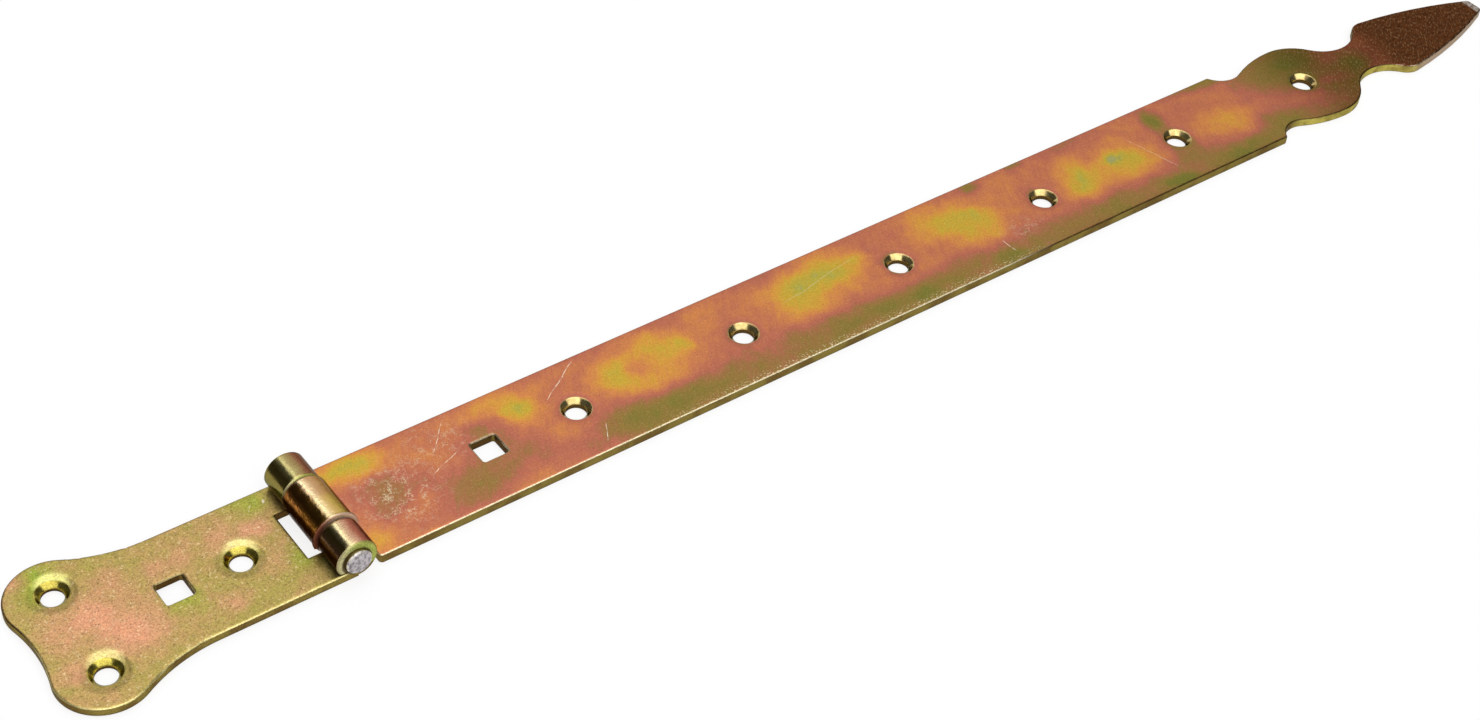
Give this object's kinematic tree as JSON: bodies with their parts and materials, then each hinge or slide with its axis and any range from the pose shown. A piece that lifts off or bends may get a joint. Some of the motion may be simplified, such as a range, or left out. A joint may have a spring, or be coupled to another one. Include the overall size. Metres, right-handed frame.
{
  "type": "tee hinge",
  "caption": "Steel tee hinge: a long strap with a spear end, a short lobed frame leaf and a rolled barrel round a pin.",
  "frame": {"origin": "under the pin's axis, half way along the barrel, in the plane of the strap's back", "axes": "+X along the strap towards its tip, +Y along the pin, +Z from the back to the countersunk face"},
  "size_m": [0.5753, 0.058, 0.0142],
  "materials": {
    "leaf_steel": "yellow passivated zinc",
    "strap_steel": "yellow passivated zinc",
    "pin_steel": "cropped grey end, yellow zinc round it"
  },
  "bodies": {
    "leaf": {"frame_leaf": "leaf_steel", "hinge_pin": "pin_steel"},
    "strap": {"strap": "strap_steel"}
  },
  "joints": [
    {"name": "strap_swing", "type": "hinge", "parent": "leaf", "child": "strap", "pos_m": [0, 0, 0.00685], "axis": [0, -1, 0], "range_deg": [-95, 184]}
  ]
}
